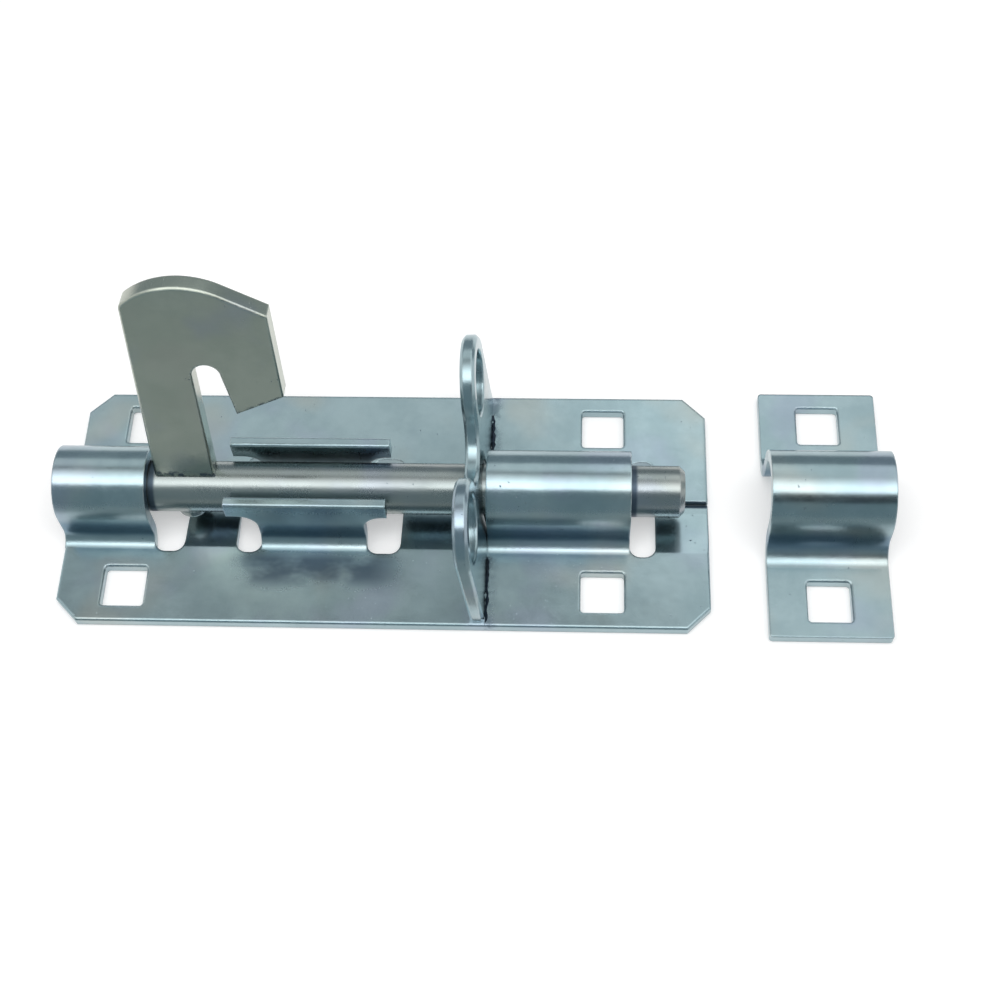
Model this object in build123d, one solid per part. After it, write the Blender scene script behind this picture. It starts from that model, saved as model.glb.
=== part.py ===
from build123d import *
import math
import os

# Padbolt for a door or gate, drawn with the bolt withdrawn and its handle lifted.
# Lengths are millimetres. The origin is the centre of the backplate's back face.
# X runs along the bolt from its tail to its nose, and Z points away from the door.

# Sheet of the backplate
sheet = 2.5
plate_width = 62.0
corner_clip = 5.4
edge_round = 0.6
fold_radius = 3.0

# Lengths along the backplate, in order from its tail end
tail_bow_length = 21.5
tail_relief = 7.0
tail_strip = 12.3
cradle_tail_relief = 6.1
cradle_foot = 24.9
cradle_nose_relief = 7.9
lug_strip = 17.1
lug_thickness = 3.4
nose_bow_length = 33.2
nose_relief = 6.1
nose_strip = 12.5

# Relief holes, which end at the fold lines, and the seam where the strips meet
relief_corner = 2.6
relief_reach = 0.5
seam_offset = 1.9
seam_gap = 0.3
lip_drop = 1.5
lip_floor = 0.5
lip_ramp = 11.0

# Square screw holes
hole_side = 10.0
hole_corner = 0.8
hole_edge = 0.4
hole_tail_inset = 15.5
hole_nose_inset = 24.9
hole_edge_inset = 9.0

# Bolt rod
rod_radius = 6.0
rod_lift = 2.5
rod_tail_inset = 2.0
rod_nose_inset = 6.2
rod_tail_chamfer = 0.8
rod_nose_chamfer = 1.2
guide_clearance = 0.8

# Open cradle between the bows
cradle_rise = 7.5
cradle_tail_ear = 6.8
cradle_nose_ear = 5.6
ear_depth = 5.0
ear_recess = 4.6

# Padlock lug
lug_lean = 4.0
lug_web = 4.7
ear_rise = 16.5
ear_spread = 38.0
ear_radius = 11.0
padlock_hole = 15.4
lug_edge = 0.7
lug_hole_edge = 0.3
tenon_width = 8.0
tenon_spread = 37.0
tenon_clearance = 0.1
tenon_slack = 0.3

# Handle, a flat hooked plate
handle_thickness = 4.5
handle_gap = 1.6
handle_span = 33.4
handle_edge = 0.4
handle_fit = 0.1
stem_width = 14.1
stem_lean = 1.8
crown_shoulder = 57.6
crown_peak = 62.6
crown_peak_inset = 12.6
crown_slope_inset = 22.8
crown_slope = 60.6
crown_corner = 54.9
crown_corner_lean = 0.6
crown_round = 2.5
hook_heel = 31.4
hook_tip = 26.0
slot_width = 6.3
slot_flare = 1.9
slot_top = 40.7
handle_angle = 77.0

# Rivet head that holds the handle's tang, on the far side of the rod
rivet_radius = 3.75
rivet_reach = 7.4
rivet_dome = 0.7

# Keeper
keeper_gap = 13.0
keeper_length = 28.0
keeper_width = 65.0
keeper_clearance = 1.5
keeper_fold = 5.0
keeper_hole_spread = 47.0
keeper_corner = 0.8

# Values that follow from the sizes above
plate_length = (
    tail_bow_length + tail_relief + tail_strip + cradle_tail_relief + cradle_foot
    + cradle_nose_relief + lug_strip + lug_thickness + nose_bow_length + nose_relief
    + nose_strip
)
plate_tail = -plate_length / 2
plate_nose = plate_length / 2
rod_axis = sheet + rod_lift + rod_radius
bow_inner = rod_radius + guide_clearance
bow_outer = bow_inner + sheet
fold_line = bow_outer + fold_radius
ear_y = ear_spread / 2
ear_z = rod_axis + ear_rise
spare = 2.0


def spans(start, lengths):
    """The start and end of each length, laid one after the other."""
    edges = [start]
    for length in lengths:
        edges.append(edges[-1] + length)
    return list(zip(edges, edges[1:]))


(
    tail_bow, tail_relief_span, tail_strip_span, cradle_tail_span, cradle,
    cradle_nose_span, lug_strip_span, lug, nose_bow, nose_relief_span, nose_strip_span,
) = spans(plate_tail, [
    tail_bow_length, tail_relief, tail_strip, cradle_tail_relief, cradle_foot,
    cradle_nose_relief, lug_strip, lug_thickness, nose_bow_length, nose_relief,
    nose_strip,
])


def block(x_span, y_span, z_span):
    """A box given by its span along each axis."""
    size = [high - low for low, high in (x_span, y_span, z_span)]
    low_corner = (x_span[0], y_span[0], z_span[0])
    return Pos(*low_corner) * Box(*size, align=(Align.MIN, Align.MIN, Align.MIN))


def along_x(section, x_span):
    """A section drawn in the YZ plane, pushed from one X to the other."""
    return Pos(x_span[0], 0, 0) * extrude(section, amount=x_span[1] - x_span[0], dir=(1, 0, 0))


def bow_section(inner, fold):
    """The sheet's outline across a bow: flange, fold, leg, arch, leg, fold, flange."""
    outer = inner + sheet
    flange = outer + fold
    fold_height = sheet + fold
    with BuildSketch(Plane.YZ) as section:
        with BuildLine():
            CenterArc((0, rod_axis), outer, 0, 180)
            CenterArc((0, rod_axis), inner, 0, 180)
            for side, start in ((1, 180), (-1, 270)):
                Line((side * outer, rod_axis), (side * outer, fold_height))
                CenterArc((side * flange, fold_height), fold, start, 90)
                Line((side * flange, sheet), (side * flange, 0))
                CenterArc((side * flange, fold_height), fold + sheet, start, 90)
                Line((side * inner, fold_height), (side * inner, rod_axis))
        make_face()
    return section.sketch


def wall_section(side):
    """The sheet's outline across one cradle wall, with its top edges rolled over."""
    top = rod_axis + cradle_rise
    fold_height = sheet + fold_radius
    start = 180 if side > 0 else 270
    with BuildSketch(Plane.YZ) as section:
        with BuildLine():
            Line((side * bow_outer, top), (side * bow_outer, fold_height))
            CenterArc((side * fold_line, fold_height), fold_radius, start, 90)
            Line((side * fold_line, sheet), (side * fold_line, 0))
            CenterArc((side * fold_line, fold_height), fold_radius + sheet, start, 90)
            Line((side * bow_inner, fold_height), (side * bow_inner, top))
            Line((side * bow_inner, top), (side * bow_outer, top))
        make_face()
        fillet(section.vertices().group_by(Axis.Y)[-1], edge_round)
    return section.sketch


def ear_undercut(foot_x, ear_x):
    """The recess under an ear of the cradle walls, round where the ear leaves the foot."""
    ear_bottom = rod_axis + cradle_rise - ear_depth
    toward = math.copysign(1, ear_x - foot_x)
    reach_x = ear_x + toward * spare
    with BuildSketch(Plane.XZ) as section:
        with BuildLine():
            Line((foot_x, -spare), (foot_x, ear_bottom - ear_recess))
            CenterArc(
                (foot_x + toward * ear_recess, ear_bottom - ear_recess),
                ear_recess, 90, toward * 90,
            )
            Line((foot_x + toward * ear_recess, ear_bottom), (reach_x, ear_bottom))
            Line((reach_x, ear_bottom), (reach_x, -spare))
            Line((reach_x, -spare), (foot_x, -spare))
        make_face()
    return extrude(section.sketch, amount=fold_line + spare, both=True)


def cradle_walls():
    """Two upright walls that the rod slides between, each with an ear past its foot."""
    ears = (cradle[0] - cradle_tail_ear, cradle[1] + cradle_nose_ear)
    walls = along_x(wall_section(1), ears) + along_x(wall_section(-1), ears)
    return walls - ear_undercut(cradle[0], ears[0]) - ear_undercut(cradle[1], ears[1])


def square_holes(points, height):
    """Cutters for square holes with small corner radii, through a sheet at z = 0."""
    hole = RectangleRounded(hole_side, hole_side, hole_corner)
    cutters = [Pos(x, y, -spare) * extrude(hole, amount=height + 2 * spare) for x, y in points]
    return cutters


def eased(shape, points):
    """Chamfers the upper edges of the square holes at the given points."""
    reach = hole_side / 2 + hole_edge
    rims = shape.edges().filter_by(
        lambda edge: math.isclose(edge.center().Z, sheet, abs_tol=1e-6)
        and any(abs(edge.center().X - x) < reach and abs(edge.center().Y - y) < reach
                for x, y in points)
    )
    return chamfer(rims, hole_edge)


def plate_hole_points():
    """Centres of the backplate's four square holes."""
    return [
        (x, side * (plate_width / 2 - hole_edge_inset))
        for x in (plate_tail + hole_tail_inset, plate_nose - hole_nose_inset)
        for side in (1, -1)
    ]


def flat_blank():
    """The flat sheet with clipped corners and a rolled top edge all round."""
    outline = chamfer(Rectangle(plate_length, plate_width).vertices(), corner_clip)
    blank = extrude(outline, amount=sheet)
    top_edges = blank.faces().sort_by(Axis.Z)[-1].edges()
    return fillet(top_edges, edge_round)


def relief_hole(x_span):
    """A hole across the plate from fold to fold, with rounded corners."""
    length = x_span[1] - x_span[0]
    middle = (x_span[0] + x_span[1]) / 2
    hole = RectangleRounded(length, 2 * (fold_line + relief_reach), relief_corner)
    return Pos(middle, 0, -spare) * extrude(hole, amount=sheet + 2 * spare)


def lip_cutter(x_span):
    """What is pressed down along the seam: a flat floor that ramps back up to the plate."""
    floor = sheet - lip_drop
    seam = seam_offset
    with BuildSketch(Plane.YZ) as section:
        with BuildLine():
            Polyline(
                (seam, sheet + spare), (seam, floor), (-lip_floor, floor),
                (-lip_floor - lip_ramp, sheet), (-lip_floor - lip_ramp, sheet + spare),
                close=True,
            )
        make_face()
    return along_x(section.sketch, x_span)


def seam_cutter(x_span):
    """The butt seam between the two halves of a strip."""
    return block(x_span, (seam_offset, seam_offset + seam_gap), (-spare, sheet + spare))


def tenon_slots():
    """Slots for the lug's tenons, cut wide on the nose side."""
    half = tenon_width / 2 + tenon_clearance
    x_span = (lug[0] - tenon_clearance, lug[1] + tenon_slack)
    return [
        block(x_span, (y - half, y + half), (-spare, sheet + spare))
        for y in (tenon_spread / 2, -tenon_spread / 2)
    ]


def backplate():
    """One pressed sheet: two closed bows, an open cradle, and flat strips with a seam."""
    plate = flat_blank()
    for bow in (tail_bow, nose_bow, cradle):
        plate -= block(bow, (-fold_line, fold_line), (-spare, sheet + spare))
    for bow in (tail_bow, nose_bow):
        plate += along_x(bow_section(bow_inner, fold_radius), bow)
    plate += cradle_walls()
    for relief in (tail_relief_span, cradle_tail_span, cradle_nose_span, nose_relief_span):
        plate -= relief_hole(relief)
    lips = (tail_strip_span, lug_strip_span, nose_strip_span)
    seams = (tail_strip_span, (lug_strip_span[0], lug[1]), nose_strip_span)
    for lip, seam in zip(lips, seams):
        plate -= lip_cutter(lip)
        plate -= seam_cutter(seam)
    for cutter in square_holes(plate_hole_points(), sheet) + tenon_slots():
        plate -= cutter
    return eased(plate, plate_hole_points())


def lug_outline():
    """The lug seen along the bolt: two round ears, a saddle and an arched opening."""
    half_width = ear_y + ear_radius
    saddle_drop = ear_rise - bow_inner - lug_web
    saddle_radius = (
        (ear_y ** 2 + saddle_drop ** 2 - ear_radius ** 2) / (2 * (ear_radius + saddle_drop))
    )
    saddle_z = ear_z - saddle_drop + saddle_radius
    lean = math.degrees(math.atan2(saddle_z - ear_z, ear_y))
    with BuildSketch(Plane.YZ) as section:
        with BuildLine():
            CenterArc((ear_y, ear_z), ear_radius, 0, 180 - lean)
            CenterArc((0, saddle_z), saddle_radius, -lean, 2 * lean - 180)
            CenterArc((-ear_y, ear_z), ear_radius, lean, 180 - lean)
            CenterArc((0, rod_axis), bow_inner, 0, 180)
            for side in (1, -1):
                Line((side * half_width, ear_z), (side * half_width, 0))
                Line((side * half_width, 0), (side * bow_inner, 0))
                Line((side * bow_inner, 0), (side * bow_inner, rod_axis))
        make_face()
    return section.sketch


def arcs_of(shape, radii):
    """The round edges of a shape that have one of the given radii."""
    return shape.edges().filter_by(GeomType.CIRCLE).filter_by(
        lambda edge: any(math.isclose(edge.radius, radius, rel_tol=1e-6) for radius in radii)
    )


def leaned(shape):
    """Leans a shape towards the bolt's tail, about the middle of the lug's foot."""
    foot = Pos((lug[0] + lug[1]) / 2, 0, sheet)
    return foot * Rot(0, -lug_lean, 0) * foot.inverse() * shape


def lug_plate():
    """Leaning plate across the bolt, with tenons that pass through the backplate."""
    plate = along_x(lug_outline(), lug)
    inner_arcs = arcs_of(plate, [bow_inner])
    profile_arcs = [arc for arc in plate.edges().filter_by(GeomType.CIRCLE) if arc not in inner_arcs]
    plate = chamfer(profile_arcs, lug_edge)
    for y in (ear_y, -ear_y):
        plate -= Pos((lug[0] + lug[1]) / 2, y, ear_z) * Rot(0, 90, 0) * Cylinder(
            padlock_hole / 2, lug_thickness + 2 * spare
        )
    plate = leaned(chamfer(arcs_of(plate, [padlock_hole / 2, bow_inner]), lug_hole_edge))
    below = (-plate_width, plate_width)
    plate -= block((lug[0] - spare, lug[1] + spare), below, (-spare, sheet))
    for y in (tenon_spread / 2, -tenon_spread / 2):
        plate += block(lug, (y - tenon_width / 2, y + tenon_width / 2), (0, sheet))
    return plate


def rod():
    """Plain round bolt with chamfered ends."""
    length = plate_length - rod_tail_inset - rod_nose_inset
    shaft = Pos(plate_tail + rod_tail_inset, 0, rod_axis) * Rot(0, 90, 0) * Cylinder(
        rod_radius, length, align=(Align.CENTER, Align.CENTER, Align.MIN)
    )
    ends = shaft.edges().filter_by(GeomType.CIRCLE).sort_by(Axis.X)
    shaft = chamfer(ends[-1], rod_nose_chamfer)
    ends = shaft.edges().filter_by(GeomType.CIRCLE).sort_by(Axis.X)
    return chamfer(ends[0], rod_tail_chamfer)


def rod_core(x_span):
    """The rod's round with the handle's fit around it."""
    length = x_span[1] - x_span[0]
    return Pos(x_span[0], 0, 0) * Rot(0, 90, 0) * Cylinder(
        rod_radius + handle_fit, length, align=(Align.CENTER, Align.CENTER, Align.MIN)
    )


stem_tail = tail_bow[1] + handle_gap
stem_nose = stem_tail + stem_width
handle_nose = stem_tail + handle_span
handle_span_x = (stem_tail - spare, handle_nose + spare)


def handle_outline():
    """The handle seen flat, with the rod's axis at zero height."""
    slot_radius = slot_width / 2
    slot_x = stem_nose + slot_radius
    slot_shoulder = slot_top - slot_radius
    crown_tail = stem_tail + stem_lean
    with BuildSketch(Plane.XZ) as section:
        with BuildLine():
            Line((stem_nose, 0), (stem_tail, 0))
            Line((stem_tail, 0), (crown_tail, crown_shoulder))
            ThreePointArc(
                (crown_tail, crown_shoulder),
                (stem_tail + crown_peak_inset, crown_peak),
                (stem_tail + crown_slope_inset, crown_slope),
            )
            Polyline(
                (stem_tail + crown_slope_inset, crown_slope),
                (handle_nose - crown_corner_lean, crown_corner),
                (handle_nose, hook_heel),
                (stem_nose + slot_width + slot_flare, hook_tip),
                (stem_nose + slot_width, slot_shoulder),
            )
            CenterArc((slot_x, slot_shoulder), slot_radius, 0, 180)
            Line((stem_nose, slot_shoulder), (stem_nose, 0))
        make_face()
        shoulder = section.vertices().sort_by_distance((crown_tail, crown_shoulder, 0))[0]
        fillet(shoulder, crown_round)
    return section.sketch


def lifted(shape):
    """Turns a shape drawn straight up from the rod's axis to the handle's angle."""
    return Pos(0, 0, rod_axis) * Rot(handle_angle - 90, 0, 0) * shape


def handle():
    """Flat hooked plate whose root is cut to sit on the rod."""
    plate = extrude(handle_outline(), amount=handle_thickness / 2, both=True)
    faces = plate.faces().sort_by(Axis.Y)
    rims = faces[0].edges() + faces[-1].edges()
    plate = chamfer(rims.filter_by(lambda edge: edge.center().Z > rod_radius + spare), handle_edge)
    return lifted(plate - rod_core(handle_span_x))


def handle_rivet():
    """Domed head of the handle's tang, shaped to the rod under it."""
    middle = (stem_tail + stem_nose) / 2
    dome_radius = (rivet_radius ** 2 + rivet_dome ** 2) / (2 * rivet_dome)
    head = Pos(middle, 0, -rivet_reach) * Cylinder(
        rivet_radius, rivet_reach, align=(Align.CENTER, Align.CENTER, Align.MIN)
    )
    dome = Pos(middle, 0, dome_radius - rivet_reach) * Sphere(dome_radius)
    return lifted((head & dome) - rod_core(handle_span_x))


def keeper():
    """Bow-shaped strap that the bolt's nose enters."""
    inner = rod_radius + keeper_clearance
    flange = inner + sheet + keeper_fold
    x_span = (plate_nose + keeper_gap, plate_nose + keeper_gap + keeper_length)
    middle = (x_span[0] + x_span[1]) / 2
    strap = along_x(bow_section(inner, keeper_fold), x_span)
    for side in (1, -1):
        edges = sorted((side * flange, side * keeper_width / 2))
        strap += block(x_span, edges, (0, sheet))
    corners = strap.edges().filter_by(Axis.Z).filter_by(
        lambda edge: abs(edge.center().Y) > flange + spare
    )
    strap = fillet(corners, keeper_corner)
    points = [(middle, side * keeper_hole_spread / 2) for side in (1, -1)]
    for cutter in square_holes(points, sheet):
        strap -= cutter
    return eased(strap, points)


os.makedirs("parts", exist_ok=True)
for make in (backplate, lug_plate, rod, handle, handle_rivet, keeper):
    export_step(make(), "parts/" + make.__name__ + ".step")
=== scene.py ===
"""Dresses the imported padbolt: zinc-plated finishes for its parts, and a plain studio stage."""

import math

import bpy
import numpy as np
from bpy.props import FloatProperty, FloatVectorProperty, PointerProperty
from mathutils import Matrix, Vector


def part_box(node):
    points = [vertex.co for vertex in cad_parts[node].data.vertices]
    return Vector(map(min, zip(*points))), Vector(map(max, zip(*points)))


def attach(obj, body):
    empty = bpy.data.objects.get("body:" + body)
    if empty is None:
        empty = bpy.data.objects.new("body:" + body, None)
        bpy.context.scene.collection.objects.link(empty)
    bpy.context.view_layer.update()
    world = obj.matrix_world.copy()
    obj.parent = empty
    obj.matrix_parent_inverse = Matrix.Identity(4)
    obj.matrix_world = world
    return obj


bl_info = {
    "name": "Padbolt finishes",
    "version": (1, 0, 0),
    "blender": (4, 5, 0),
    "location": "3D View > Sidebar > Padbolt",
    "description": "Gives a packed padbolt its zinc-plated finishes and a studio stage",
    "category": "Object",
}

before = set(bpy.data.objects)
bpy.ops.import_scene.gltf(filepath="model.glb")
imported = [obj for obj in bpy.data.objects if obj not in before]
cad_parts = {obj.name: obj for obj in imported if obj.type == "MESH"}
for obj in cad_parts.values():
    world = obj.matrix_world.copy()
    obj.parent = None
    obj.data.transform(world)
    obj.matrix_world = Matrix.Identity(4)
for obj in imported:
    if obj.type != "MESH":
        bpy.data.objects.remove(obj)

# Places on the padbolt, in metres, and the handle's angle at rest
BOLT_AXIS_HEIGHT = 0.011
BOW_MOUTHS = (0.0580, -0.0538)
SEAM_Y = 0.0017
HANDLE_REST = math.radians(77)
HOOK_TIP_X, HOOK_TIP_HEIGHT = -0.0306, 0.0260
BURR_OFFSET, BURR_HEIGHT = 0.0003, 0.00022


# Settings

def tint(name, description, default):
    """A colour setting, in linear light."""
    return FloatVectorProperty(
        name=name, description=description, default=default, subtype="COLOR",
        size=3, min=0.0, max=1.0,
    )


def length(name, description, default):
    """A length setting, in metres."""
    return FloatProperty(name=name, description=description, default=default, unit="LENGTH",
                         precision=5)


def angle(name, description, degrees):
    """An angle setting, given in degrees."""
    return FloatProperty(name=name, description=description, default=math.radians(degrees),
                         subtype="ANGLE")


class PadboltZinc(bpy.types.PropertyGroup):
    """Colours and grain of the zinc plate, and the colours of its painted highlight, reflection
    and shade.
    """

    sheet_light: tint("Sheet, light", "Lighter clouds on the pressed sheet", (0.40, 0.51, 0.54))
    sheet_dark: tint("Sheet, dark", "Darker clouds on the pressed sheet", (0.27, 0.37, 0.40))
    bar_light: tint("Bolt, light", "Lighter clouds on the round bolt", (0.36, 0.40, 0.39))
    bar_dark: tint("Bolt, dark", "Darker clouds on the round bolt", (0.26, 0.30, 0.30))
    flat_light: tint("Handle, light", "Lighter clouds on the handle", (0.51, 0.54, 0.47))
    flat_dark: tint("Handle, dark", "Darker clouds on the handle", (0.39, 0.43, 0.37))
    warm: tint("Warm cast", "Faint yellow of the passivation", (0.47, 0.47, 0.42))
    violet: tint("Violet cast", "Faint violet of the passivation", (0.34, 0.37, 0.50))
    # Painted reflection: the navy that the lower walls of the bows show
    navy_reflection: tint("Blued", "Deep blue passivation on the walls of the bows", (0.13, 0.22, 0.31))
    # Also the colour of painted shade: the rings on the rod and the gap beside the lug's foot
    stain_and_shade_colour: tint("Stain", "Blue-black tarnish in corners and pits", (0.05, 0.08, 0.12))
    # Colour of the painted highlight along edges
    edge_highlight: tint("Edge", "Polished zinc on the rolled edges", (0.78, 0.86, 0.88))
    roughness: FloatProperty(name="Roughness", description="Roughness of clean plating",
                             default=0.22, min=0.0, max=1.0)
    cloud_size: length("Cloud size", "Width of the clouds in the plating", 0.016)
    grain_size: length("Grain size", "Width of the plating's crystals", 0.0004)
    sheet: length("Sheet", "Thickness of the backplate's sheet", 0.0025)
    # Width of the painted edge highlight, and radius of the rounded shading normal
    edge_width: length("Edge width", "Width of the polished band along edges", 0.0006)


class PadboltStage(bpy.types.PropertyGroup):
    """Camera and light of the studio."""

    azimuth: angle("Azimuth", "Camera's turn about the vertical", 5.51)
    elevation: angle("Elevation", "Camera's height above the floor", 60.94)
    roll: angle("Roll", "Camera's turn about its own line of sight", 4.12)
    distance: length("Distance", "From the camera to the point it looks at", 0.38707)
    target: FloatVectorProperty(name="Target", description="Point that the camera looks at",
                                default=(0.02672, 0.00198, 0.0025), subtype="TRANSLATION",
                                unit="LENGTH", precision=5)
    lens: FloatProperty(name="Lens", description="Focal length on a 36 mm sensor",
                        default=58.51, unit="CAMERA")
    floor: tint("Floor", "Colour of the floor", (0.80, 0.80, 0.80))
    lamp_power: FloatProperty(name="Softbox power", description="Power of the overhead softbox",
                              default=3.2, unit="POWER")
    room_light: FloatProperty(name="Room light", description="Even light from all round",
                              default=0.45, min=0.0, max=1.0)


# Shader nodes

class Value:
    """A node's output. Used in an expression, it adds the Math nodes that work it out."""

    def __init__(self, tree, socket):
        self.tree = tree
        self.socket = socket

    def math(self, operation, *values):
        return self.tree.node("ShaderNodeMath", {"operation": operation}, dict(enumerate(values)))

    def __add__(self, other):
        return self.math("ADD", self, other)

    def __sub__(self, other):
        return self.math("SUBTRACT", self, other)

    def __rsub__(self, other):
        return self.math("SUBTRACT", other, self)

    def __mul__(self, other):
        return self.math("MULTIPLY", self, other)

    __radd__ = __add__
    __rmul__ = __mul__

    def either(self, other):
        """The larger of two values, so that two masks both show."""
        return self.math("MAXIMUM", self, other)

    def magnitude(self):
        """The value without its sign."""
        return self.math("ABSOLUTE", self)

    def clear_of(self, low, high):
        """0 below low, 1 above high, and smooth between them."""
        settings = {"interpolation_type": "SMOOTHSTEP"}
        return self.tree.node("ShaderNodeMapRange", settings,
                              {"Value": self, "From Min": low, "From Max": high})

    def within(self, rise, fall):
        """0, then smoothly up to 1 over one range, and back to 0 over another."""
        return self.clear_of(*rise) * (1.0 - self.clear_of(*fall))

    def close_to(self, place, full, gone):
        """1 as near to a place as full, and smoothly down to 0 as far from it as gone."""
        return 1.0 - (self - place).magnitude().clear_of(full, gone)


class Tree:
    """A shader node tree and the one way that nodes are added to it."""

    def __init__(self, node_tree):
        self.node_tree = node_tree
        node_tree.nodes.clear()

    def node(self, kind, settings=None, inputs=None, output=0):
        """Adds a node, sets its settings first and then its sockets, and returns one output."""
        made = self.node_tree.nodes.new(kind)
        for name, setting in (settings or {}).items():
            setattr(made, name, setting)
        for key, given in (inputs or {}).items():
            socket = made.inputs[key]
            if isinstance(given, Value):
                self.node_tree.links.new(given.socket, socket)
            elif socket.type == "RGBA" and len(given) == 3:
                socket.default_value = (*given, 1.0)
            else:
                socket.default_value = given
        return Value(self, made.outputs[output]) if made.outputs else None

    def place(self, scale=(1.0, 1.0, 1.0)):
        """Object coordinates, in metres, stretched along each axis."""
        coordinates = self.node("ShaderNodeTexCoord", output="Object")
        return self.node("ShaderNodeMapping", {}, {"Vector": coordinates, "Scale": scale})

    def axes(self):
        """The three object coordinates, one by one."""
        coordinates = self.node("ShaderNodeTexCoord", output="Object")
        split = self.node("ShaderNodeSeparateXYZ", {}, {0: coordinates})
        outputs = split.socket.node.outputs
        return [Value(self, outputs[name]) for name in "XYZ"]

    def noise(self, size, stretch=(1.0, 1.0, 1.0), detail=3.0, roughness=0.5, seed=0.0):
        """Soft clouds about as wide as size, from 0 to 1."""
        return self.node("ShaderNodeTexNoise", {"noise_dimensions": "4D"}, {
            "Vector": self.place(stretch), "Scale": 1.0 / size, "Detail": detail,
            "Roughness": roughness, "W": seed,
        })

    def mix(self, factor, low, high):
        """Mixes two colours."""
        return self.node("ShaderNodeMix", {"data_type": "RGBA"}, {0: factor, 6: low, 7: high},
                         output=2)


def blank(name):
    """A new material and its empty tree."""
    material = bpy.data.materials.new(name)
    material.use_nodes = True
    return material, Tree(material.node_tree)


# Finishes

def edge_mask(tree, rounded):
    """1 on sharp and rolled edges: how far the rounded normal turns from the true one."""
    true = tree.node("ShaderNodeNewGeometry", output="Normal")
    dot = tree.node("ShaderNodeVectorMath", {"operation": "DOT_PRODUCT"}, {0: rounded, 1: true},
                    output="Value")
    return (1.0 - dot).clear_of(0.02, 0.22)


def plated(name, light, dark, zinc, marks_and_painted_shade=None, stretch=(1.0, 1.0, 1.0), drawn_and_painted_navy=False,
           edge_highlight_strength=0.45, dull=0.0, seed=0.0):
    """Zinc plate: clouded colour, faint casts, crystals, pits, stains, painted shade and a painted
    highlight on the edges.
    On request the walls of the bows get a painted navy reflection and lines up the folds; the edge
    strength is how bright the painted edge highlight is, and dull adds roughness."""
    material, tree = blank(name)

    clouds = tree.noise(zinc.cloud_size, stretch, 4.0, 0.62, seed).clear_of(0.32, 0.68)
    smears = tree.noise(zinc.cloud_size / 3.0, (0.35, 1.0, 1.0), 3.0, 0.6, seed + 3.0)
    crystals = tree.noise(zinc.grain_size, detail=2.0, seed=seed + 5.0)
    pits = (tree.noise(0.0008, detail=1.0, seed=seed + 7.0).clear_of(0.70, 0.76)
            * tree.noise(0.011, seed=seed + 9.0).clear_of(0.50, 0.62))
    tone = clouds * 0.55 + smears * 0.30 + crystals * 0.15
    colour = tree.mix(tone, dark, light)
    warmth = tree.noise(0.021, detail=2.0, seed=seed + 15.0).clear_of(0.52, 0.70)
    violet = tree.noise(0.017, detail=2.0, seed=seed + 17.0).clear_of(0.52, 0.70)
    colour = tree.mix(warmth * 0.40, colour, tuple(zinc.warm))
    colour = tree.mix(violet * 0.35, colour, tuple(zinc.violet))
    # Painted reflection: the lower walls of the bows are tinted navy
    if drawn_and_painted_navy:
        colour = tree.mix(navy_wall_reflection_mask(tree, seed) * 0.75, colour, tuple(zinc.navy_reflection))
    # Dark marks: pits and stains, with painted shade from the marks passed in
    dirt_and_painted_shade = pits * 0.75
    if marks_and_painted_shade is not None:
        dirt_and_painted_shade = dirt_and_painted_shade.either(marks_and_painted_shade(tree))
    colour = tree.mix(dirt_and_painted_shade, colour, tuple(zinc.stain_and_shade_colour))
    rounded = tree.node("ShaderNodeBevel", {"samples": 6}, {"Radius": zinc.edge_width})
    # Painted highlight: edges are lightened towards the edge colour
    if edge_highlight_strength:
        colour = tree.mix(edge_mask(tree, rounded) * edge_highlight_strength, colour, tuple(zinc.edge_highlight))

    haze = tree.noise(zinc.cloud_size / 2.0, detail=3.0, seed=seed + 11.0)
    clean = zinc.roughness - 0.04 + dull
    roughness = (haze - 0.5) * 0.16 + crystals * 0.08 + dirt_and_painted_shade * 0.20 + clean

    dents = tree.noise(0.009, detail=2.0, seed=seed + 13.0)
    height = dents * 0.00010 + crystals * 0.000006 - pits * 0.00003
    if drawn_and_painted_navy:
        marks = draw_marks(tree, seed)
        height = height + marks * 0.000012
        roughness = roughness + marks * 0.22
    normal = tree.node("ShaderNodeBump", {}, {"Height": height, "Distance": 1.0,
                                              "Strength": 1.0, "Normal": rounded})
    shader = tree.node("ShaderNodeBsdfPrincipled", {}, {
        "Base Color": colour, "Metallic": 1.0, "Roughness": roughness, "Normal": normal,
    })
    tree.node("ShaderNodeOutputMaterial", {}, {"Surface": shader})
    return material


def navy_wall_reflection_mask(tree, seed):
    """The painted navy reflection: the lower walls of the bows, between fold and crown, in
    patches.
    """
    walls = tree.axes()[2].within((0.0031, 0.0052), (0.0078, 0.0112))
    reflection_patches = tree.noise(0.006, (0.5, 1.0, 1.0), 2.0, 0.5, seed + 21.0).clear_of(0.15, 0.60)
    return walls * (reflection_patches * 0.4 + 0.6)


def draw_marks(tree, seed):
    """Fine lines up the folds and walls, where the press tool drew the sheet upwards."""
    lines = tree.noise(0.0005, (1.0, 0.06, 0.06), 2.0, 0.6, seed + 19.0)
    return lines * tree.axes()[2].within((0.00253, 0.0029), (0.0130, 0.0180))


def rod_ring_shade_and_smear(tree):
    """Painted shade as dark rings on the rod at the bows' mouths, and a smear of grease between.
    """
    x = tree.axes()[0]
    nose_ring, tail_ring = (x.close_to(mouth, 0.0004, 0.0012) for mouth in BOW_MOUTHS)
    smear = tree.noise(0.007, (0.3, 1.0, 1.0), 3.0, 0.6, seed=25.0).clear_of(0.56, 0.74)
    return nose_ring.either(tail_ring) * 0.85 + smear * 0.18


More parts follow.
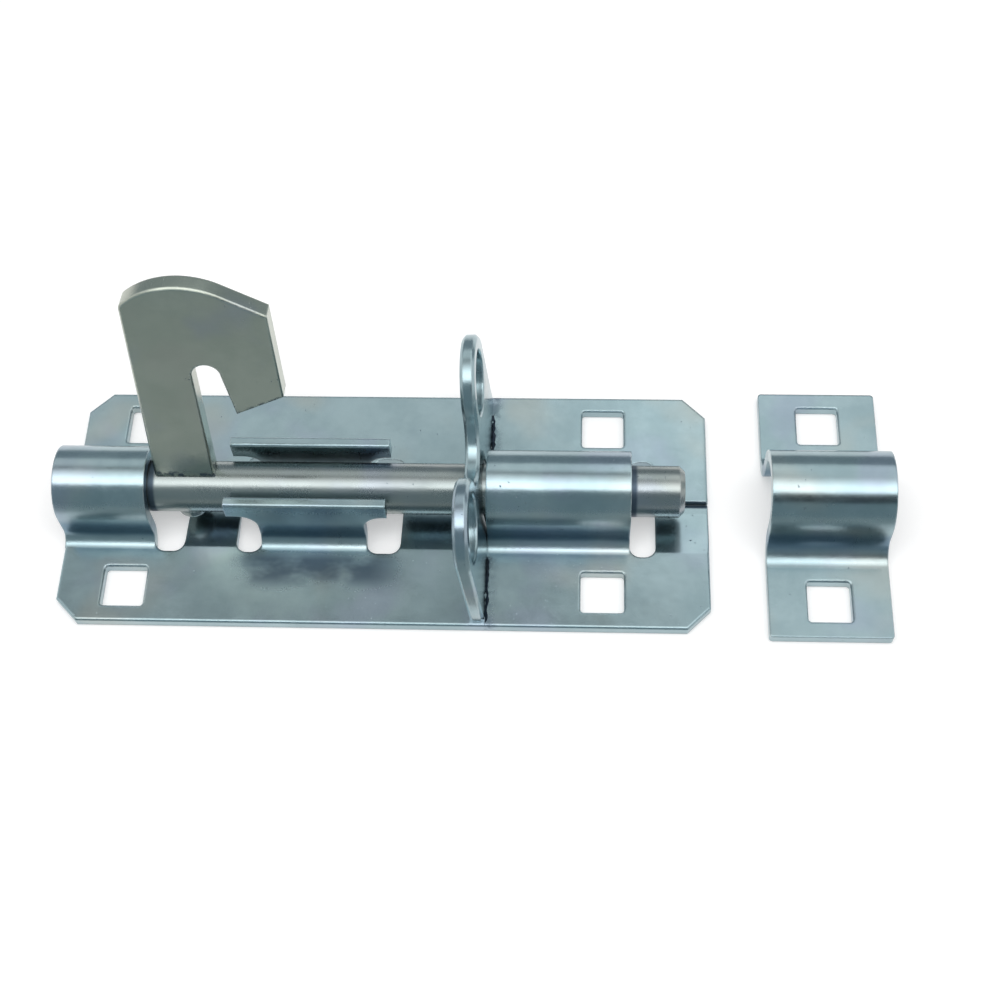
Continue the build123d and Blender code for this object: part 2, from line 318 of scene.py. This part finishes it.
def plate_stains_and_gap_shadow(tree):
    """Blue-black staining on the plate before the cradle and along the seam, and painted shadow of
    the gap beside the lug's foot.
    """
    x, y, z = tree.axes()
    patch = (x.within((-0.040, -0.028), (-0.004, 0.010))
             * y.within((-0.0245, -0.0185), (-0.0150, -0.0115)))
    blots = tree.noise(0.007, (0.6, 1.0, 1.0), 3.0, 0.55, seed=22.0).clear_of(0.22, 0.56)
    # Painted shadow: a jagged dark line beside the lug's foot, where the gap is
    beside_lug = (x.within((0.0240, 0.0243), (0.0246, 0.0275))
                  * y.magnitude().clear_of(0.0125, 0.0140))
    jagged_gap_shadow = tree.noise(0.0022, detail=3.0, seed=23.0).clear_of(0.36, 0.62)
    seam = y.close_to(SEAM_Y, 0.0003, 0.0007) * (1.0 - z.clear_of(0.0026, 0.0030))
    return (patch * blots * 0.80).either(beside_lug * jagged_gap_shadow * 0.55).either(seam * 0.9)


def handle_tarnish(tree):
    """Black chips where the handle's root is peened to the rod, and on the edge of its hook."""
    x, y, z = tree.axes()
    height = y * math.cos(HANDLE_REST) + (z - BOLT_AXIS_HEIGHT) * math.sin(HANDLE_REST)
    root = 1.0 - height.clear_of(0.0066, 0.0082)
    past_edge = (height - HOOK_TIP_HEIGHT) * 0.90 - (x - HOOK_TIP_X) * 0.44
    edge = past_edge.close_to(0.0, 0.0003, 0.0012) * x.clear_of(-0.0315, -0.0300)
    chips = tree.noise(0.0016, detail=2.0, seed=27.0).clear_of(0.42, 0.60)
    return root.either(edge) * chips * 0.85


def wear(node, material):
    """Gives a CAD node its finish."""
    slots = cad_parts[node].data.materials
    slots.clear()
    slots.append(material)


def put_in_scene(name, data):
    """A new object in the scene that holds a mesh, a lamp or a camera."""
    made = bpy.data.objects.new(name, data)
    bpy.context.scene.collection.objects.link(made)
    return made


def burr(name, x, y_from, y_to, z, width, height, seed):
    """A ragged ridge along Y: at each station a half-sunk ellipse whose half-width and height
    are the given ones times 1 plus a smoothed random walk, and which shrinks to both ends."""
    stations, around, smoothing, raggedness = 120, 12, 17, 1.4
    rng = np.random.default_rng(seed)
    t = np.linspace(0.0, 1.0, stations)
    kernel = np.hanning(smoothing) / np.hanning(smoothing).sum()
    rough = [np.convolve(rng.uniform(-1.0, 1.0, stations + smoothing - 1), kernel, "valid")
             for _ in range(3)]
    taper = np.clip(np.sin(np.pi * t) * 6.0, 0.15, 1.0)
    angles = np.linspace(0.0, 2.0 * np.pi, around, endpoint=False)
    half_width = width / 2 * (1.0 + raggedness * rough[0]) * taper
    half_height = height * (1.0 + raggedness * rough[1]) * taper
    points = np.empty((stations, around, 3))
    points[..., 0] = (x + 1.2 * width * rough[2])[:, None] + half_width[:, None] * np.cos(angles)
    points[..., 1] = (y_from + (y_to - y_from) * t)[:, None]
    points[..., 2] = z + half_height[:, None] * np.sin(angles)
    ring = np.arange(stations * around).reshape(stations, around)
    turned = np.roll(ring, -1, axis=1)
    walls = np.stack([ring[:-1], ring[1:], turned[1:], turned[:-1]], axis=-1).reshape(-1, 4)
    faces = walls.tolist() + [ring[0].tolist(), ring[-1][::-1].tolist()]
    mesh = bpy.data.meshes.new(name)
    mesh.from_pydata(points.reshape(-1, 3).tolist(), [], faces)
    mesh.polygons.foreach_set("use_smooth", [True] * len(mesh.polygons))
    return put_in_scene(name, mesh)


# Operators

class PADBOLT_OT_backplate(bpy.types.Operator):
    """Finish the pressed backplate"""

    bl_idname = "padbolt.backplate"
    bl_label = "Backplate"

    def execute(self, context):
        zinc = context.scene.padbolt_zinc
        wear("backplate", plated("Backplate.zinc", zinc.sheet_light, zinc.sheet_dark, zinc,
                                 plate_stains_and_gap_shadow, drawn_and_painted_navy=True, seed=1.0))
        return {"FINISHED"}


class PADBOLT_OT_lug(bpy.types.Operator):
    """Finish the padlock lug"""

    bl_idname = "padbolt.lug"
    bl_label = "Padlock lug"

    def execute(self, context):
        zinc = context.scene.padbolt_zinc
        wear("lug_plate", plated("Lug.zinc", zinc.sheet_light, zinc.sheet_dark, zinc, seed=2.0))
        return {"FINISHED"}


class PADBOLT_OT_burrs(bpy.types.Operator):
    """Raise the burr that the lug's fitting pushed up on either side of the bolt, coloured black
    as painted shadow of the gap under the lug's foot
    """

    bl_idname = "padbolt.burrs"
    bl_label = "Burrs at the lug's foot"

    def execute(self, context):
        zinc = context.scene.padbolt_zinc
        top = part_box("backplate")[0].z + zinc.sheet
        beside_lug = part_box("lug_plate")[1].x + BURR_OFFSET
        # Painted shadow: the ridges are black for the shaded gap under the lug's foot
        jagged_gap_shadow = plated("Burr.painted_gap_shadow", tuple(0.6 * v for v in zinc.stain_and_shade_colour),
                      tuple(0.2 * v for v in zinc.stain_and_shade_colour), zinc, edge_highlight_strength=0.0, dull=0.35, seed=8.0)
        for name, ends, width, seed in (
            ("lug_burr_near", (-0.0303, -0.0132), 0.00060, 13),
            ("lug_burr_far", (0.0132, 0.0260), 0.00075, 12),
        ):
            made = burr(name, beside_lug, *ends, top, width, BURR_HEIGHT, seed)
            made.data.materials.append(jagged_gap_shadow)
            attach(made, "base")
        return {"FINISHED"}


class PADBOLT_OT_rod(bpy.types.Operator):
    """Finish the round bolt"""

    bl_idname = "padbolt.rod"
    bl_label = "Bolt rod"

    def execute(self, context):
        zinc = context.scene.padbolt_zinc
        wear("rod", plated("Rod.zinc", zinc.bar_light, zinc.bar_dark, zinc, rod_ring_shade_and_smear,
                           stretch=(0.25, 1.0, 1.0), dull=0.06, seed=3.0))
        return {"FINISHED"}


class PADBOLT_OT_handle(bpy.types.Operator):
    """Finish the hooked handle and its rivet"""

    bl_idname = "padbolt.handle"
    bl_label = "Handle and rivet"

    def execute(self, context):
        zinc = context.scene.padbolt_zinc
        wear("handle", plated("Handle.zinc", zinc.flat_light, zinc.flat_dark, zinc,
                              handle_tarnish, seed=4.0))
        wear("handle_rivet", plated("Rivet.zinc", zinc.bar_light, zinc.bar_dark, zinc, seed=5.0))
        return {"FINISHED"}


class PADBOLT_OT_keeper(bpy.types.Operator):
    """Finish the bow keeper"""

    bl_idname = "padbolt.keeper"
    bl_label = "Keeper"

    def execute(self, context):
        zinc = context.scene.padbolt_zinc
        wear("keeper", plated("Keeper.zinc", zinc.sheet_light, zinc.sheet_dark, zinc,
                              drawn_and_painted_navy=True, seed=6.0))
        return {"FINISHED"}


# Stage

def even(tree):
    """The same level all over."""
    return 1.0


def high_level(tree):
    """Brighter downwards, more so towards the bolt's nose, and even over the keeper."""
    lowest, rise_down, rise_at_nose, rise_at_keeper = 0.36, 0.54, 0.80, 0.68
    x, _, z = tree.axes()
    keeper = x.clear_of(0.06, 0.17)
    nose = x.clear_of(0.02, 0.10)
    down = (1.0 - z.clear_of(0.495, 0.545)) * (1.0 - keeper)
    return keeper * rise_at_keeper + down * (nose * rise_at_nose + rise_down) + lowest


def softbox_level(tree):
    """The softbox as metal shows it: bright on the near side and fading towards the far one."""
    brightest, fall = 2.85, 2.10
    return brightest - tree.axes()[1].clear_of(-0.19, 0.21) * fall


# Colours of the cards that only reflections see
NEAR_GREY = (0.27, 0.34, 0.37)
FAR_GREY = (0.30, 0.35, 0.38)
APRON_GREY = (0.38, 0.43, 0.44)
PALE = (0.96, 1.0, 1.0)
NEAR_BLACK = (0.02, 0.03, 0.04)
WHITE = (1.0, 1.0, 1.0)

# Each card's elevations in degrees, distance, span along X, colour and level
ROOM = (-0.9, 0.9)
FLAGS = (
    ("Stage.flag_near", (0, 62), 0.60, ROOM, NEAR_GREY, even),
    ("Stage.flag_line", (38, 62), 0.50, (0.12, 0.5), NEAR_BLACK, even),
    ("Stage.flag_far", (142, 179), 0.60, ROOM, FAR_GREY, even),
    ("Stage.flag_high", (106, 142), 0.60, ROOM, PALE, high_level),
    ("Stage.softbox_front", (63, 107), 0.62, (-0.45, 0.5), WHITE, softbox_level),
)

# The floor, and the cards that lie just over it: their middle and depth along Y, and colour
FLOOR_WIDTH, FLOOR_HEIGHT = 4.0, -0.0002
APRON_WIDTH, APRON_HEIGHT = 1.2, -0.0001
APRONS = (
    ("Stage.apron", -0.385, 0.5, NEAR_GREY),
    ("Stage.apron_near", -0.085, 0.1, APRON_GREY),
)

# The softbox's place, the point that it faces, and its size
SOFTBOX_PLACE, SOFTBOX_AIM, SOFTBOX_SIZE = (0.02, -0.09, 0.70), (0.02, 0.0, 0.0), (0.9, 0.50)


def shining(name, colour, level):
    """A surface that shines by itself and that the lamps don't change."""
    material, tree = blank(name)
    shine = tree.node("ShaderNodeEmission", {}, {"Color": colour, "Strength": level(tree)})
    tree.node("ShaderNodeOutputMaterial", {}, {"Surface": shine})
    return material


def rectangle(name, centre, across, up, material):
    """A flat stage panel: its centre plus or minus half of each of two vectors."""
    centre, across, up = (np.array(v, float) for v in (centre, across, up))
    signs = np.array([(-1, -1), (1, -1), (1, 1), (-1, 1)], float) / 2
    points = centre + signs[:, :1] * across + signs[:, 1:] * up
    mesh = bpy.data.meshes.new(name)
    mesh.from_pydata(points.tolist(), [], [(0, 1, 2, 3)])
    mesh.materials.append(material)
    panel = put_in_scene(name, mesh)
    return panel


def card(name, centre, across, up, colour, level=even):
    """A shining panel that only reflections see."""
    panel = rectangle(name, centre, across, up, shining(name, colour, level))
    panel.visible_camera = False
    panel.visible_diffuse = False
    panel.visible_shadow = False
    panel.visible_transmission = False


def flag(name, elevations, distance, span, colour, level):
    """A card across a range of elevation in the YZ plane and a span along X."""
    middle = (span[0] + span[1]) / 2
    low, high = (
        np.array([middle, -distance * math.cos(a), distance * math.sin(a)])
        for a in map(math.radians, elevations)
    )
    card(name, (low + high) / 2, (span[1] - span[0], 0, 0), high - low, colour, level)


def seen_directly(tree):
    """1 for camera, glossy and transmission rays, which see the white background."""
    camera = tree.node("ShaderNodeLightPath", output="Is Camera Ray")
    outputs = camera.socket.node.outputs
    glossy = Value(tree, outputs["Is Glossy Ray"])
    through = Value(tree, outputs["Is Transmission Ray"])
    return camera.either(glossy).either(through)


def floor_material(colour):
    """Matt floor with a little glow for the camera, so that it is white and keeps the shadow."""
    glow = 0.36
    material, tree = blank("Stage.floor")
    shader = tree.node("ShaderNodeBsdfPrincipled", {}, {
        "Base Color": colour, "Roughness": 0.9, "Emission Color": WHITE,
        "Emission Strength": seen_directly(tree) * glow,
    })
    tree.node("ShaderNodeOutputMaterial", {}, {"Surface": shader})
    return material


def softbox(name, place, aim, size, power):
    """A rectangular lamp at a place, turned to face a point. Metal shows its front card."""
    lamp = bpy.data.lights.new(name, "AREA")
    lamp.shape = "RECTANGLE"
    lamp.size, lamp.size_y = size
    lamp.energy = power
    holder = put_in_scene(name, lamp)
    holder.location = place
    holder.rotation_euler = (Vector(aim) - Vector(place)).to_track_quat("-Z", "Y").to_euler()
    holder.visible_glossy = False


def studio(room_light):
    """A world that is white where it is seen and lights the rest evenly."""
    world = bpy.data.worlds.new("Studio")
    world.use_nodes = True
    tree = Tree(world.node_tree)
    strength = seen_directly(tree) * (1.0 - room_light) + room_light
    sky = tree.node("ShaderNodeBackground", {}, {"Color": WHITE, "Strength": strength})
    tree.node("ShaderNodeOutputWorld", {}, {"Surface": sky})
    return world


def camera_frame(stage):
    """The camera's axes: back along its elevation and azimuth, then turned by its roll."""
    a, e, roll = stage.azimuth, stage.elevation, stage.roll
    back = Vector((math.sin(a) * math.cos(e), -math.cos(a) * math.cos(e), math.sin(e)))
    level = Vector((math.cos(a), math.sin(a), 0.0))
    upright = back.cross(level)
    right = math.cos(roll) * level - math.sin(roll) * upright
    up = math.sin(roll) * level + math.cos(roll) * upright
    frame_of_camera = Matrix((right, up, back)).transposed().to_4x4()
    frame_of_camera.translation = Vector(stage.target) + stage.distance * back
    return frame_of_camera


class PADBOLT_OT_stage(bpy.types.Operator):
    """Build the floor, the light and the camera"""

    bl_idname = "padbolt.stage"
    bl_label = "Stage"

    def execute(self, context):
        stage = context.scene.padbolt_stage
        rectangle("Stage.floor", (0, 0, FLOOR_HEIGHT), (FLOOR_WIDTH, 0, 0), (0, FLOOR_WIDTH, 0),
                  floor_material(tuple(stage.floor)))
        for row in FLAGS:
            flag(*row)
        for name, middle, depth, colour in APRONS:
            card(name, (0, middle, APRON_HEIGHT), (APRON_WIDTH, 0, 0), (0, depth, 0), colour)
        softbox("Softbox", SOFTBOX_PLACE, SOFTBOX_AIM, SOFTBOX_SIZE, stage.lamp_power)
        context.scene.world = studio(stage.room_light)

        lens = bpy.data.cameras.new("Camera")
        lens.sensor_fit = "HORIZONTAL"
        lens.sensor_width = 36.0
        lens.lens = stage.lens
        lens.clip_start = 0.01
        camera = put_in_scene("Camera", lens)
        camera.matrix_world = camera_frame(stage)
        context.scene.camera = camera
        context.scene.view_settings.view_transform = "Standard"
        return {"FINISHED"}


class PADBOLT_PT_panel(bpy.types.Panel):
    """Lists the padbolt's operators and settings"""

    bl_idname = "PADBOLT_PT_panel"
    bl_label = "Padbolt"
    bl_space_type = "VIEW_3D"
    bl_region_type = "UI"
    bl_category = "Padbolt"

    def draw(self, context):
        for operator in OPERATORS:
            self.layout.operator(operator.bl_idname)
        for group in (context.scene.padbolt_zinc, context.scene.padbolt_stage):
            column = self.layout.column(align=True)
            for name in group.__annotations__:
                column.prop(group, name)


OPERATORS = (
    PADBOLT_OT_backplate,
    PADBOLT_OT_lug,
    PADBOLT_OT_burrs,
    PADBOLT_OT_rod,
    PADBOLT_OT_handle,
    PADBOLT_OT_keeper,
    PADBOLT_OT_stage,
)
CLASSES = (PadboltZinc, PadboltStage, *OPERATORS, PADBOLT_PT_panel)


def register():
    for cls in CLASSES:
        bpy.utils.register_class(cls)
    bpy.types.Scene.padbolt_zinc = PointerProperty(type=PadboltZinc)
    bpy.types.Scene.padbolt_stage = PointerProperty(type=PadboltStage)


def unregister():
    del bpy.types.Scene.padbolt_stage
    del bpy.types.Scene.padbolt_zinc
    for cls in reversed(CLASSES):
        bpy.utils.unregister_class(cls)


def main():
    """Registers the add-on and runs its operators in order."""
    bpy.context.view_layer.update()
    register()
    bpy.ops.padbolt.backplate()
    bpy.ops.padbolt.lug()
    bpy.ops.padbolt.burrs()
    bpy.ops.padbolt.rod()
    bpy.ops.padbolt.handle()
    bpy.ops.padbolt.keeper()
    bpy.ops.padbolt.stage()


if __name__ == "__main__":
    main()
